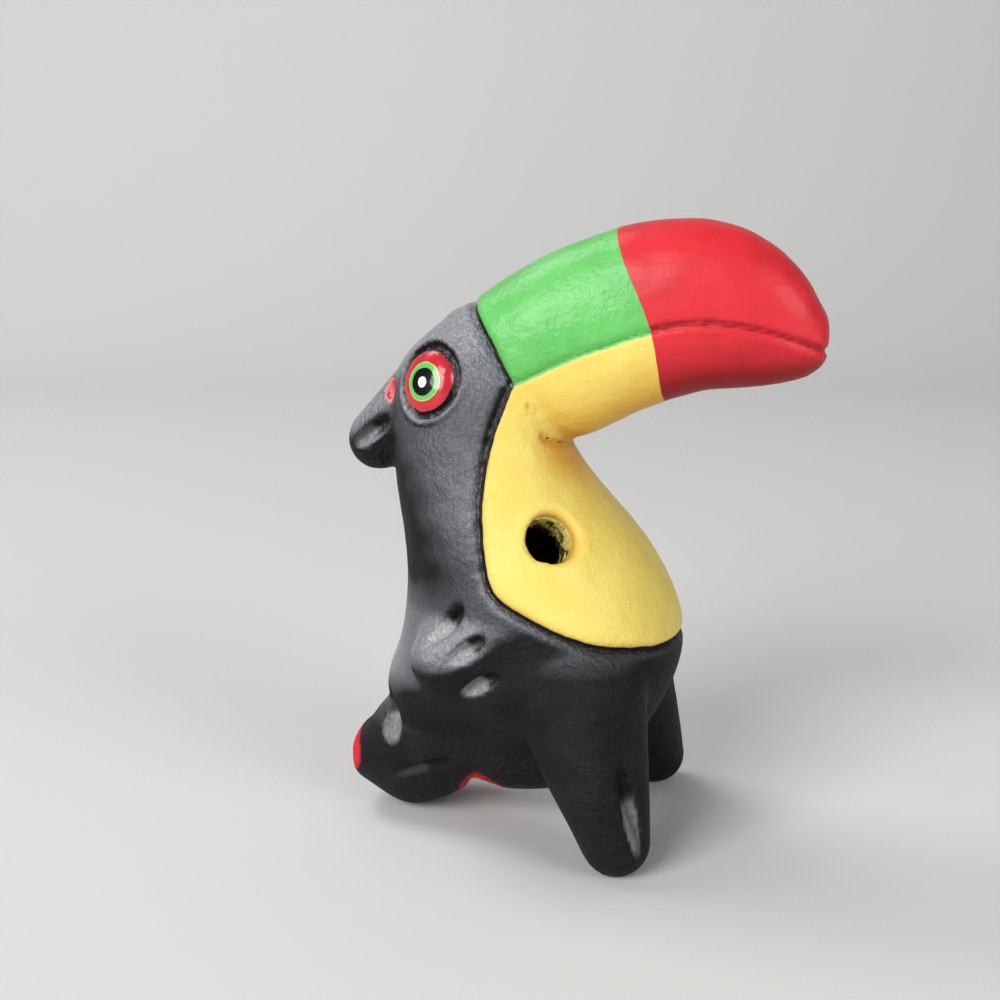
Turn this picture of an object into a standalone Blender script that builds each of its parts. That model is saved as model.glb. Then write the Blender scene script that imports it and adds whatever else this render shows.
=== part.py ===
"""A toucan-shaped vessel whistle of fired clay. Metres; +X is the bird's forward, +Y its left, +Z up."""

import math

import bmesh
import bpy
import numpy as np
from mathutils import Matrix, Vector
from mathutils.bvhtree import BVHTree

# Trunk, neck and head: (height, back, front, half width) of each level, with its domed ends
TRUNK = (
    (0.0130, -0.0370, 0.0000, 0.0104),
    (0.0200, -0.0384, 0.0040, 0.0146),
    (0.0290, -0.0356, 0.0066, 0.0181),
    (0.0385, -0.0344, 0.0039, 0.0182),
    (0.0450, -0.0350, -0.0004, 0.0170),
    (0.0520, -0.0362, -0.0066, 0.0150),
    (0.0580, -0.0366, -0.0106, 0.0136),
    (0.0640, -0.0366, -0.0110, 0.0124),
    (0.0690, -0.0358, -0.0120, 0.0112),
    (0.0730, -0.0322, -0.0135, 0.0096),
    (0.0760, -0.0286, -0.0160, 0.0070),
)
TRUNK_BASE_DOME = 0.0085
TRUNK_TOP_DOME = 0.0020
TRUNK_SQUARENESS = 2.15

# Beak: (forward, underside, top, half width) of each section, with its rounded tip
BEAK = (
    (-0.0300, 0.0600, 0.0742, 0.0070),
    (-0.0249, 0.0590, 0.0783, 0.0088),
    (-0.0168, 0.0585, 0.0834, 0.0098),
    (-0.0082, 0.0590, 0.0873, 0.0096),
    (0.0003, 0.0632, 0.0897, 0.0091),
    (0.0093, 0.0662, 0.0899, 0.0084),
    (0.0155, 0.0669, 0.0880, 0.0075),
    (0.0200, 0.0676, 0.0848, 0.0063),
    (0.0230, 0.0685, 0.0812, 0.0050),
    (0.0248, 0.0698, 0.0776, 0.0036),
)
BEAK_ROOT_DOME = 0.0040
BEAK_TIP_DOME = 0.0009
BEAK_SQUARENESS = 2.3

# Tail, which is also the mouthpiece: (forward, underside, top, half width) of each section
TAIL = (
    (-0.0418, 0.0038, 0.0130, 0.0072),
    (-0.0400, 0.0024, 0.0158, 0.0080),
    (-0.0350, -0.0001, 0.0195, 0.0088),
    (-0.0290, 0.0018, 0.0225, 0.0105),
    (-0.0240, 0.0048, 0.0240, 0.0110),
)
TAIL_DOME = 0.0022
TAIL_SQUARENESS = 2.0

# Lumps pressed on each side of the clay: two ends and the radius at each
LEG_HIP = Vector((-0.0066, 0.0112, 0.0232))
LEG_FOOT = Vector((0.0001, 0.0176, 0.0046))
LEG_HIP_RADIUS = 0.0097
LEG_FOOT_RADIUS = 0.0050
CREST_ROOT = Vector((-0.0325, 0.0, 0.0650))
CREST_TIP = Vector((-0.0397, 0.0, 0.0573))
CREST_ROOT_RADIUS = 0.0050
CREST_TIP_RADIUS = 0.0048
WING_SHOULDER = Vector((-0.0145, 0.0150, 0.0335))
WING_ELBOW = Vector((-0.0253, 0.0145, 0.0285))
WING_SHOULDER_RADIUS = 0.0038
WING_ELBOW_RADIUS = 0.0053

# Air chamber inside the trunk
WALL = 0.0042
CHAMBER_TOP = 0.0545
CHAMBER_TOP_DOME = 0.0050

# Lines cut in the skin, seen from the side: (forward, height)
BEAK_LINE = ((-0.0249, 0.0790), (-0.0215, 0.0746), (-0.0190, 0.0706), (-0.0172, 0.0672))
BREAST_LINE = (
    (-0.0172, 0.0672),
    (-0.0180, 0.0650),
    (-0.0192, 0.0612),
    (-0.0201, 0.0566),
    (-0.0204, 0.0507),
    (-0.0196, 0.0441),
    (-0.0187, 0.0404),
    (-0.0169, 0.0380),
    (-0.0130, 0.0358),
    (-0.0087, 0.0337),
    (-0.0040, 0.0319),
    (0.0018, 0.0307),
    (0.0040, 0.0303),
    (0.0100, 0.0300),
)
GAPE_LINE = (
    (-0.0172, 0.0672),
    (-0.0093, 0.0710),
    (-0.0038, 0.0731),
    (0.0024, 0.0751),
    (0.0086, 0.0761),
    (0.0152, 0.0755),
    (0.0218, 0.0736),
    (0.0290, 0.0705),
)
LINE_WIDTH = 0.0015
LINE_DEPTH = 0.0010
GAPE_WIDTH = 0.0012
GAPE_DEPTH = 0.0006

# Eye: a low domed disc inside a ring groove, on each side of the head
EYE_CENTRE = (-0.0296, 0.0675)
EYE_RADIUS = 0.0043
EYE_TURNED_BACK = math.radians(22)
EYE_RING_WIDTH = 0.0010
EYE_RING_DEPTH = 0.0011
EYE_DOME = 0.0005

# Outer radii of the eye's white, black and green paint, with red round them
EYE_PAINTS = (0.0009, 0.0019, 0.0026)

# Dimple behind the eye
DIMPLE_CENTRE = (-0.0367, 0.0653)
DIMPLE_RADII = (0.0011, 0.0030, 0.0018)
DIMPLE_DEPTH = 0.0012

# Tool gouges, seen from the side: (deep end, shallow end, width, depth)
GOUGES = (
    ((-0.0366, 0.0613), (-0.0428, 0.0563), 0.0026, 0.0016),
    ((-0.0220, 0.0372), (-0.0276, 0.0312), 0.0024, 0.0016),
    ((-0.0184, 0.0333), (-0.0238, 0.0291), 0.0027, 0.0017),
    ((-0.0167, 0.0277), (-0.0230, 0.0234), 0.0026, 0.0017),
    ((-0.0374, 0.0199), (-0.0355, 0.0119), 0.0034, 0.0018),
    ((-0.0258, 0.0117), (-0.0361, 0.0067), 0.0018, 0.0013),
    ((0.0005, 0.0173), (0.0044, 0.0026), 0.0026, 0.0017),
)

# Finger holes in the breast
FINGER_HOLE = (-0.0098, 0.0470)
FINGER_HOLE_RADIUS = 0.0036
FINGER_HOLE_FORWARD = math.radians(42)
FINGER_HOLE_UP = math.radians(31)
FINGER_RIM = 0.0007
FINGER_HOLE_REACH = 0.0110

# Windway through the tail, and the window under the belly with its sharp lip
WINDWAY_WIDTH = 0.0110
WINDWAY_HEIGHT = 0.0018
WINDWAY_MOUTH_HEIGHT = 0.0080
WINDWAY_END_HEIGHT = 0.0072
WINDOW_FORWARD = -0.0225
WINDOW_LENGTH = 0.0072
WINDOW_WIDTH = 0.0150
LIP_HEIGHT = 0.0084
LIP_SLOPE = math.radians(32)

# Paint borders that no line marks, seen from the side
BAND_BORDER = ((-0.0038, 0.0950), (-0.0038, 0.0887), (0.0020, 0.0755), (0.0034, 0.0642), (0.0034, 0.0600))
MOUTH_PAINT = 0.0012
WINDOW_PAINT = 0.0012

# Paints: linear colour and roughness
BLACK = ((0.018, 0.018, 0.022), 0.42)
YELLOW = ((0.78, 0.58, 0.13), 0.50)
GREEN = ((0.06, 0.50, 0.05), 0.30)
RED = ((0.62, 0.020, 0.025), 0.28)
WHITE = ((0.88, 0.88, 0.86), 0.30)

# Fineness of the modelled skin
CLAY_GRAIN = 0.0005
CLAY_SMOOTHING = 14
SKIN_TRIANGLES = 9600
ROUND_SIDES = 40
SECTION_SIDES = 48
SECTION_LEVELS = 30
CHAMBER_SIDES = 28
CHAMBER_LEVELS = 10
DOME_LEVELS = 6
LINE_SAMPLES = 6

SHARP_FROM = math.radians(40)
FAR_OUT = 0.030
MARGIN = 0.002


def clear_scene():
    for obj in list(bpy.data.objects):
        bpy.data.objects.remove(obj)


# Curves and sections

def columns(rows):
    return np.array(rows, float).T


def curve_through(at, places, values):
    """A smooth curve through the named values, read at these places."""
    slopes = np.gradient(values, places)
    at = np.clip(at, places[0], places[-1])
    left = np.clip(np.searchsorted(places, at) - 1, 0, len(places) - 2)
    span = places[left + 1] - places[left]
    t = (at - places[left]) / span
    rise = values[left + 1] - values[left]
    start = slopes[left] * span
    end = slopes[left + 1] * span
    return values[left] + t * (start + t * (3 * rise - 2 * start - end + t * (start + end - 2 * rise)))


def nearest_on_line(places, line):
    """The nearest place, seen from the side, on a smooth line through these points: place, gap and side.

    The side is over 0 to the left of the line, walking from its first point.
    """
    knots = np.arange(len(line), dtype=float)
    fine = np.linspace(0, len(line) - 1, LINE_SAMPLES * (len(line) - 1) + 1)
    corners = np.stack([curve_through(fine, knots, values) for values in columns(line)], axis=1)
    best = np.full(len(places), np.inf)
    nearest = np.zeros_like(places)
    side = np.zeros(len(places))
    for start, end in zip(corners, corners[1:]):
        way = end - start
        off = places - start
        along = np.clip(off @ way / (way @ way), 0, 1)
        spots = start + along[:, None] * way
        gaps = np.linalg.norm(places - spots, axis=1)
        closer = gaps < best
        best[closer] = gaps[closer]
        nearest[closer] = spots[closer]
        side[closer] = (way[0] * off[:, 1] - way[1] * off[:, 0])[closer]
    return nearest, best, side


def trough(distance, width):
    """1 in the middle of a cut line, falling to 0 at its edges."""
    return np.clip(1 - (2 * distance / width) ** 2, 0, 1)


def dome_levels(dome):
    """How far out, and how wide, each level of a rounded end is, from its tip to its root."""
    for k in range(DOME_LEVELS):
        angle = math.pi / 2 * (k + 0.3) / DOME_LEVELS
        yield dome * math.cos(angle), math.sin(angle)


def sections(rows, first_dome, last_dome, levels=SECTION_LEVELS):
    """(along, low, high, half width) of each level of a loft with rounded ends."""
    places, *others = columns(rows)
    found = []
    for out, wide in dome_levels(first_dome):
        found.append((places[0] - out, *narrowed(rows[0][1:], wide)))
    for along in np.linspace(places[0], places[-1], levels):
        found.append((along, *(float(curve_through(along, places, values)) for values in others)))
    for out, wide in reversed(list(dome_levels(last_dome))):
        found.append((places[-1] + out, *narrowed(rows[-1][1:], wide)))
    return found


def narrowed(oval, share):
    low, high, half = oval
    middle, reach = (low + high) / 2, (high - low) / 2
    return middle - share * reach, middle + share * reach, share * half


def oval_points(low, high, half, squareness, sides=SECTION_SIDES):
    """A rounded oval as (across, side) pairs."""
    points = []
    for i in range(sides):
        angle = 2 * math.pi * i / sides
        c, s = math.cos(angle), math.sin(angle)
        across = math.copysign(abs(c) ** (2 / squareness), c)
        side = math.copysign(abs(s) ** (2 / squareness), s)
        points.append(((low + high) / 2 + across * (high - low) / 2, side * half))
    return points


# Meshes

def stacked(rings):
    """Vertices and faces of a closed form through rings of equal count."""
    sides = len(rings[0])
    vertices = [Vector(v) for ring in rings for v in ring]
    faces = [tuple(reversed(range(sides)))]
    for level in range(len(rings) - 1):
        base = level * sides
        for i in range(sides):
            j = (i + 1) % sides
            faces.append((base + i, base + j, base + sides + j, base + sides + i))
    faces.append(tuple(range(len(vertices) - sides, len(vertices))))
    return vertices, faces


def add_rings(mesh, rings):
    """Adds a closed form through these rings to a bmesh, facing out."""
    vertices, faces = stacked(rings)
    made = [mesh.verts.new(v) for v in vertices]
    new_faces = [mesh.faces.new([made[n] for n in face]) for face in faces]
    bmesh.ops.recalc_face_normals(mesh, faces=new_faces)


def placed_object(name, mesh):
    """A new object that holds this bmesh."""
    data = bpy.data.meshes.new(name)
    mesh.to_mesh(data)
    mesh.free()
    obj = bpy.data.objects.new(name, data)
    bpy.context.scene.collection.objects.link(obj)
    return obj


def shaped_mesh(obj):
    """The object's mesh as its modifiers leave it."""
    graph = bpy.context.evaluated_depsgraph_get()
    return bpy.data.meshes.new_from_object(obj.evaluated_get(graph), depsgraph=graph)


# The lumps of clay

def add_upright_loft(mesh, rows, first_dome, last_dome, squareness):
    rings = []
    for height, low, high, half in sections(rows, first_dome, last_dome):
        rings.append([(across, side, height) for across, side in oval_points(low, high, half, squareness)])
    add_rings(mesh, rings)


def add_level_loft(mesh, rows, first_dome, last_dome, squareness):
    rings = []
    for forward, low, high, half in sections(rows, first_dome, last_dome):
        rings.append([(forward, side, across) for across, side in oval_points(low, high, half, squareness)])
    add_rings(mesh, rings)


def add_lump(mesh, start, end, start_radius, end_radius):
    """A rounded lump drawn out from one ball to another."""
    lump = bmesh.new()
    for centre, radius in ((start, start_radius), (end, end_radius)):
        bmesh.ops.create_icosphere(lump, subdivisions=4, radius=radius, matrix=Matrix.Translation(centre))
    balls = list(lump.faces)
    hull = bmesh.ops.convex_hull(lump, input=lump.verts)
    wrapped = {face for face in hull["geom"] if isinstance(face, bmesh.types.BMFace)}
    bmesh.ops.delete(lump, geom=[face for face in balls if face not in wrapped], context="FACES")
    bmesh.ops.delete(lump, geom=[v for v in lump.verts if not v.link_faces], context="VERTS")
    bmesh.ops.recalc_face_normals(lump, faces=lump.faces)
    data = bpy.data.meshes.new("lump")
    lump.to_mesh(data)
    lump.free()
    mesh.from_mesh(data)
    bpy.data.meshes.remove(data)


def worked_clay():
    """All the lumps worked together into one skin, with soft clay fillets where they meet."""
    mesh = bmesh.new()
    add_upright_loft(mesh, TRUNK, TRUNK_BASE_DOME, TRUNK_TOP_DOME, TRUNK_SQUARENESS)
    add_level_loft(mesh, BEAK, BEAK_ROOT_DOME, BEAK_TIP_DOME, BEAK_SQUARENESS)
    add_level_loft(mesh, TAIL, TAIL_DOME, TAIL_DOME, TAIL_SQUARENESS)
    add_lump(mesh, CREST_ROOT, CREST_TIP, CREST_ROOT_RADIUS, CREST_TIP_RADIUS)
    for side in (1, -1):
        to_side = Vector((1, side, 1))
        add_lump(mesh, LEG_HIP * to_side, LEG_FOOT * to_side, LEG_HIP_RADIUS, LEG_FOOT_RADIUS)
        add_lump(mesh, WING_SHOULDER * to_side, WING_ELBOW * to_side, WING_SHOULDER_RADIUS, WING_ELBOW_RADIUS)
    clay = placed_object("clay", mesh)
    joined = clay.modifiers.new("joined", "REMESH")
    joined.mode = "VOXEL"
    joined.voxel_size = CLAY_GRAIN
    smoothed = clay.modifiers.new("smoothed", "SMOOTH")
    smoothed.factor = 0.5
    smoothed.iterations = CLAY_SMOOTHING
    skin = shaped_mesh(clay)
    bpy.data.objects.remove(clay)
    return skin


# Places on the skin

def on_skin(skin, forward, height, side):
    """The skin's point at this place, seen from one side, and the way straight out of it."""
    start = Vector((forward, side * FAR_OUT, height))
    hit, normal, _, _ = skin.ray_cast(start, Vector((0, -side, 0)))
    if hit is None:
        hit, normal, _, _ = skin.find_nearest(Vector((forward, 0, height)))
    return hit, normal


# Marks pressed into the soft clay

def press_line(places, ways, line, width, depth):
    """A line cut with a stick: its vertices drawn onto its middle and its edges, then sunk."""
    side_view = places[:, (0, 2)]
    nearest, gaps, _ = nearest_on_line(side_view, line)
    middle = gaps < width / 4
    edge = ~middle & (gaps < 3 * width / 4)
    moved = side_view.copy()
    moved[middle] = nearest[middle]
    away = (side_view - nearest)[edge] / gaps[edge][:, None]
    moved[edge] = nearest[edge] + away * width / 2
    places[:, 0], places[:, 2] = moved.T
    _, gaps, _ = nearest_on_line(moved, line)
    places -= ways * (depth * trough(gaps, width))[:, None]
    return gaps < width / 8


def from_eye(places, tree, side):
    """The way and the distance of each place from the eye's axis, and which places are near its disc."""
    centre, _ = on_skin(tree, *EYE_CENTRE, side)
    outward = np.array((-math.sin(EYE_TURNED_BACK), side * math.cos(EYE_TURNED_BACK), 0))
    off = places - np.array(centre)
    depth = off @ outward
    flat = off - depth[:, None] * outward
    return flat, np.linalg.norm(flat, axis=1), np.abs(depth) < EYE_RADIUS


def press_eye(places, ways, tree, side):
    """A ring groove round a low domed disc, with vertices drawn onto its edges and those of its paint."""
    flat, across, near = from_eye(places, tree, side)
    ring_middle = EYE_RADIUS + EYE_RING_WIDTH / 2
    circles = [(radius, CLAY_GRAIN / 2) for radius in EYE_PAINTS]
    circles += [(ring_middle + share * EYE_RING_WIDTH, EYE_RING_WIDTH / 4) for share in (-0.5, 0, 0.5)]
    for wanted, reach in circles:
        chosen = near & (np.abs(across - wanted) < reach)
        places[chosen] += flat[chosen] * (wanted / across[chosen] - 1)[:, None]
    _, across, near = from_eye(places, tree, side)
    sunk = EYE_RING_DEPTH * trough(across - ring_middle, EYE_RING_WIDTH)
    risen = EYE_DOME * np.clip(1 - (across / EYE_RADIUS) ** 2, 0, 1)
    places -= ways * np.where(near, sunk - risen, 0)[:, None]
    return near & (across < EYE_RADIUS)


def press_gouge(places, ways, tree, side, deep, shallow, width, depth):
    """A leaf-shaped tool mark: steep at its deep end, running out at the other."""
    deep, _ = on_skin(tree, *deep, side)
    shallow, _ = on_skin(tree, *shallow, side)
    line = deep - shallow
    _, outward, _, _ = tree.find_nearest((deep + shallow) / 2)
    sideways = np.array(outward.cross(line).normalized())
    outward, line, shallow = np.array(outward), np.array(line), np.array(shallow)
    off = places - shallow
    along = (off @ line) / (line @ line)
    leaf = np.clip(4 * along * (1 - along), 0, 1)
    sunk = depth * np.sqrt(leaf) * (0.4 + 0.6 * np.clip(along, 0, 1))
    near = np.abs((off - along[:, None] * line) @ outward) < 2 * width
    across = off @ sideways
    places -= ways * np.where(near, sunk * trough(across, width * leaf**0.7 + MARGIN / 1000), 0)[:, None]


def press_dimple(places, ways, tree, side):
    """A small deep dimple behind the eye."""
    centre, _ = on_skin(tree, *DIMPLE_CENTRE, side)
    share = np.linalg.norm((places - np.array(centre)) / np.array(DIMPLE_RADII), axis=1)
    places -= ways * (DIMPLE_DEPTH * trough(share, 2))[:, None]


def press_marks(clay):
    """Every mark, pressed straight into the skin. Also says which vertices carry a border of paint."""
    faces = [tuple(face.vertices) for face in clay.polygons]
    tree = BVHTree.FromPolygons([v.co for v in clay.vertices], faces)
    places = np.array([v.co for v in clay.vertices])
    ways = np.array([v.normal for v in clay.vertices])
    press_line(places, ways, BEAK_LINE, LINE_WIDTH, LINE_DEPTH)
    press_line(places, ways, BREAST_LINE, LINE_WIDTH, LINE_DEPTH)
    press_line(places, ways, GAPE_LINE, GAPE_WIDTH, GAPE_DEPTH)
    borders = press_line(places, ways, BAND_BORDER, 2 * CLAY_GRAIN, 0)
    for side in (1, -1):
        borders |= press_eye(places, ways, tree, side)
        press_dimple(places, ways, tree, side)
        for mark in GOUGES:
            press_gouge(places, ways, tree, side, *mark)
    clay.vertices.foreach_set("co", places.ravel())
    clay.update()
    return tree, borders


def with_fewer_faces(clay, borders):
    """The same skin with wide faces where it is plain and small ones where it bends or its paint ends."""
    obj = bpy.data.objects.new("pressed_clay", clay)
    bpy.context.scene.collection.objects.link(obj)
    plain = obj.vertex_groups.new(name="plain")
    plain.add([int(n) for n in np.flatnonzero(~borders)], 1, "REPLACE")
    fewer = obj.modifiers.new("fewer_faces", "DECIMATE")
    fewer.vertex_group = plain.name
    fewer.ratio = SKIN_TRIANGLES / (2 * len(clay.polygons))
    skin = shaped_mesh(obj)
    bpy.data.objects.remove(obj)
    return skin


# Cutters

def cut_from(body, cutter):
    """Takes a closed helper mesh out of the body with a Boolean."""
    cutter.hide_render = True
    cutter.display_type = "WIRE"
    cut = body.modifiers.new(cutter.name, "BOOLEAN")
    cut.operation = "DIFFERENCE"
    cut.object = cutter
    cut.solver = "EXACT"


def ring_cutter(name, rings):
    mesh = bmesh.new()
    add_rings(mesh, rings)
    return placed_object(name, mesh)


def circle(centre, axis, radius):
    turn = axis.to_track_quat("Z", "Y").to_matrix()
    angles = [2 * math.pi * i / ROUND_SIDES for i in range(ROUND_SIDES)]
    return [centre + turn @ Vector((radius * math.cos(a), radius * math.sin(a), 0)) for a in angles]


def chamber_cutter():
    """The air space: the trunk's own form, one wall thinner all round, up to the top of the neck."""
    below = [row for row in TRUNK if row[0] < CHAMBER_TOP - CHAMBER_TOP_DOME]
    top = CHAMBER_TOP - CHAMBER_TOP_DOME
    heights, *others = columns(TRUNK)
    below.append((top, *(float(curve_through(top, heights, values)) for values in others)))
    rows = [(height, back + WALL, front - WALL, half - WALL) for height, back, front, half in below]
    rings = []
    for height, low, high, half in sections(rows, TRUNK_BASE_DOME - WALL, CHAMBER_TOP_DOME, CHAMBER_LEVELS):
        oval = oval_points(low, high, half, TRUNK_SQUARENESS, CHAMBER_SIDES)
        rings.append([(across, side, height) for across, side in oval])
    return ring_cutter("air_chamber", rings)


def finger_hole_cutter(name, skin, side):
    mouth, _ = on_skin(skin, *FINGER_HOLE, side)
    level = math.cos(FINGER_HOLE_UP)
    forward = level * math.sin(FINGER_HOLE_FORWARD)
    sideways = side * level * math.cos(FINGER_HOLE_FORWARD)
    axis = Vector((forward, sideways, math.sin(FINGER_HOLE_UP)))
    radius = FINGER_HOLE_RADIUS
    stops = (
        (-FINGER_HOLE_REACH, radius),
        (-FINGER_RIM, radius),
        (FINGER_RIM, radius + 2 * FINGER_RIM),
        (4 * FINGER_RIM, radius + 4 * FINGER_RIM),
    )
    return ring_cutter(name, [circle(mouth + axis * offset, axis, wide) for offset, wide in stops])


def window_cutter():
    """An oval opening from under the belly into the chamber."""
    rings = []
    for height in (-MARGIN, TRUNK[0][0]):
        ring = []
        for i in range(ROUND_SIDES):
            angle = 2 * math.pi * i / ROUND_SIDES
            forward = WINDOW_FORWARD + WINDOW_LENGTH / 2 * math.cos(angle)
            ring.append((forward, WINDOW_WIDTH / 2 * math.sin(angle), height))
        rings.append(ring)
    return ring_cutter("window", rings)


def lip_slope_cutter():
    """A slope outside the window that leaves its front edge sharp, facing the windway."""
    edge = WINDOW_FORWARD + WINDOW_LENGTH * 0.45
    run = (LIP_HEIGHT + MARGIN) / math.tan(LIP_SLOPE)
    half = WINDOW_WIDTH * 0.24
    outline = ((edge, LIP_HEIGHT), (edge, -MARGIN), (edge + run, -MARGIN))
    return ring_cutter("lip_slope", [[(x, side, z) for x, z in outline] for side in (half, -half)])


def windway_cutter():
    """The flat slot that carries the breath through the tail to the window."""
    start = TAIL[0][0] - TAIL_DOME - MARGIN
    half_wide, half_high = WINDWAY_WIDTH / 2, WINDWAY_HEIGHT / 2
    corners = ((-1, -1), (1, -1), (1, 1), (-1, 1))
    rings = []
    for x, height in ((start, WINDWAY_MOUTH_HEIGHT), (WINDOW_FORWARD, WINDWAY_END_HEIGHT)):
        rings.append([(x, half_wide * across, height + half_high * up) for across, up in corners])
    return ring_cutter("windway", rings)


def ground_cutter():
    """The two feet and the tail are flat where they stand."""
    corners = ((-1, -1), (1, -1), (1, 1), (-1, 1))
    rings = [[(2 * FAR_OUT * x, 2 * FAR_OUT * y, z) for x, y in corners] for z in (-FAR_OUT, 0)]
    return ring_cutter("ground", rings)


# Paint

def paint_numbers(places, tree):
    """The number of the paint on each place: black, yellow, green, red or white."""
    forward, sideways, height = places.T
    sides = []
    for line in (BAND_BORDER, BEAK_LINE, GAPE_LINE, BREAST_LINE):
        _, _, side = nearest_on_line(places[:, (0, 2)], line)
        sides.append(side > 0)
    before_band, before_head, over_gape, in_breast = sides
    in_beak = over_gape & before_head
    numbers = np.where(in_beak, 2, np.where(in_breast, 1, 0))
    numbers[before_band & (in_beak | in_breast) & (height > BAND_BORDER[-1][1])] = 3
    numbers[(forward < TAIL[0][0] - TAIL_DOME + MOUTH_PAINT) & (height < TAIL[1][2])] = 3
    reach_x = WINDOW_LENGTH / 2 + WINDOW_PAINT
    reach_y = WINDOW_WIDTH / 2 + WINDOW_PAINT
    from_window = np.hypot((forward - WINDOW_FORWARD) / reach_x, sideways / reach_y)
    numbers[(from_window < 1) & (height < TRUNK[0][0])] = 3
    for side in (1, -1):
        centre, _ = on_skin(tree, *DIMPLE_CENTRE, side)
        numbers[np.linalg.norm((places - np.array(centre)) / np.array(DIMPLE_RADII), axis=1) < 1] = 3
        _, across, near = from_eye(places, tree, side)
        for number, radius in zip((3, 2, 0, 4), (EYE_RADIUS, *reversed(EYE_PAINTS))):
            numbers[near & (across < radius)] = number
    return numbers


def painted(mesh, tree):
    paints = (("black", BLACK), ("yellow", YELLOW), ("green", GREEN), ("red", RED), ("white", WHITE))
    for name, (colour, roughness) in paints:
        paint = bpy.data.materials.new(f"{name}_paint")
        paint.use_nodes = True
        shader = paint.node_tree.nodes["Principled BSDF"]
        shader.inputs["Base Color"].default_value = (*colour, 1)
        shader.inputs["Roughness"].default_value = roughness
        mesh.materials.append(paint)
    centres = np.array([face.center for face in mesh.polygons])
    for face, number in zip(mesh.polygons, paint_numbers(centres, tree)):
        face.material_index = int(number)


def main():
    clear_scene()
    clay = worked_clay()
    tree, borders = press_marks(clay)
    clay = with_fewer_faces(clay, borders)
    body = bpy.data.objects.new("whistle_body", clay)
    bpy.context.scene.collection.objects.link(body)
    cutters = [chamber_cutter()]
    for word, side in (("left", 1), ("right", -1)):
        cutters.append(finger_hole_cutter(f"finger_hole_{word}", tree, side))
    cutters += [window_cutter(), windway_cutter(), lip_slope_cutter(), ground_cutter()]
    for cutter in cutters:
        cut_from(body, cutter)
    finished = shaped_mesh(body)
    body.modifiers.clear()
    body.data = finished
    for cutter in cutters:
        bpy.data.objects.remove(cutter)
    forward = [v.co.x for v in finished.vertices]
    painted(finished, tree)
    finished.transform(Matrix.Translation((-(min(forward) + max(forward)) / 2, 0, 0)))
    finished.shade_smooth()
    finished.set_sharp_from_angle(angle=SHARP_FROM)


main()
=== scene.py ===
"""The painted skin, light and camera of a toucan-shaped clay whistle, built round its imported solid.

Metres; +X is the bird's forward, +Y its left, +Z up. Lines on the skin are given as seen from the
side.
"""

import itertools
import math

import bmesh
import bpy
import numpy as np
from mathutils import Matrix, Vector, noise
from mathutils.bvhtree import BVHTree


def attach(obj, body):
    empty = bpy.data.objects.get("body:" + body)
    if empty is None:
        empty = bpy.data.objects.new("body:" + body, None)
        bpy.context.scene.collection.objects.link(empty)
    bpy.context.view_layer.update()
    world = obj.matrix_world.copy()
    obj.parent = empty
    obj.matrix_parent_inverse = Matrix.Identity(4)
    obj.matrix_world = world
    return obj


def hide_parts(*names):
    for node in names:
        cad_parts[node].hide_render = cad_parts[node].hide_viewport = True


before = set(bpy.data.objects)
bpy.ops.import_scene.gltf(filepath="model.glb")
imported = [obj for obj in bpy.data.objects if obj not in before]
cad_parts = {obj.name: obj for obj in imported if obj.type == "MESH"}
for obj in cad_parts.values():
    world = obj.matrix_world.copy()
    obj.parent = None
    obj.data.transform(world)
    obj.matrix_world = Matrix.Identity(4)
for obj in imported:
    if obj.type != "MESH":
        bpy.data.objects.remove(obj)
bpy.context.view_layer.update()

MM = 0.001
TINY = 1e-6

# How steep the walls of a mark are
GENTLE, STEEP = 2, 3

# Lines cut in the clay, in millimetres: (forward, height)
BEAK_LINE = ((-15.4, 79.0), (-12.0, 74.6), (-9.5, 70.6), (-7.7, 67.2))
BREAST_LINE = (
    (-7.7, 67.2),
    (-8.5, 65.0),
    (-9.7, 61.2),
    (-10.6, 56.6),
    (-10.9, 50.7),
    (-10.1, 44.1),
    (-9.2, 40.4),
    (-7.4, 38.0),
    (-3.5, 35.8),
    (0.8, 33.7),
    (5.5, 31.9),
    (11.3, 30.7),
    (13.5, 30.3),
    (19.5, 30.0),
)
GAPE_LINE = (
    (-7.7, 67.2),
    (0.2, 71.0),
    (5.7, 73.1),
    (11.9, 75.1),
    (18.1, 76.1),
    (24.7, 75.5),
    (31.3, 73.6),
    (38.5, 70.5),
)
BAND_LINE = ((5.7, 95.0), (5.7, 88.7), (11.5, 75.5), (12.9, 64.2), (12.9, 60.0))
BEAK_CUT_NARROWER = 0.12

# Corners of the paint's outlines, and starts of rays, that lie clear of the whistle
FAR_UP, FAR_DOWN, FAR_FORWARD, FAR_BESIDE = 120.0, 29.8, 60.0, 60.0

# Eye: where its disc sits on the side of the head, and its painted rings
EYE_CENTRE = (-20.1, 67.5)
EYE_TURNED_BACK = math.radians(22)
EYE_RADIUS = 4.3
EYE_GROOVE_WIDTH = 1.0
EYE_GROOVE_DEPTH = 0.7
EYE_RIM_WIDTH = 0.9
EYE_RIM_HEIGHT = 0.16
EYE_RINGS = (("white", 0.74), ("black", 1.95), ("green", 2.62), ("straw", 2.70))
EYE_RING_EDGE = 0.04
EYE_WAVER = 0.125
EYE_WAVER_SIZE = 1.2

# The disc of paint on the eye: how far out it reaches, by the eye's radius, how far it stands, and
# how far off rays start that find the clay under it
EYE_EDGE = 0.975
EYE_STANDS = 0.08
EYE_RAY_START = 4.0
EYE_SPOKES = 96
EYE_HOOPS = 26
EYE_MIDDLE_HOOP = 0.02

# Other spots of red paint
DIMPLE_CENTRE = (-27.2, 65.0)
DIMPLE_RADII = (1.15, 3.0, 1.85)
MOUTH_MIDDLE = (-34.5, 9.0)
MOUTH_REACH = (3.8, 10.0, 3.6)
WINDOW_MIDDLE = (-13.0, 12.0)
WINDOW_REACH = (4.7, 8.7)

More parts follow.
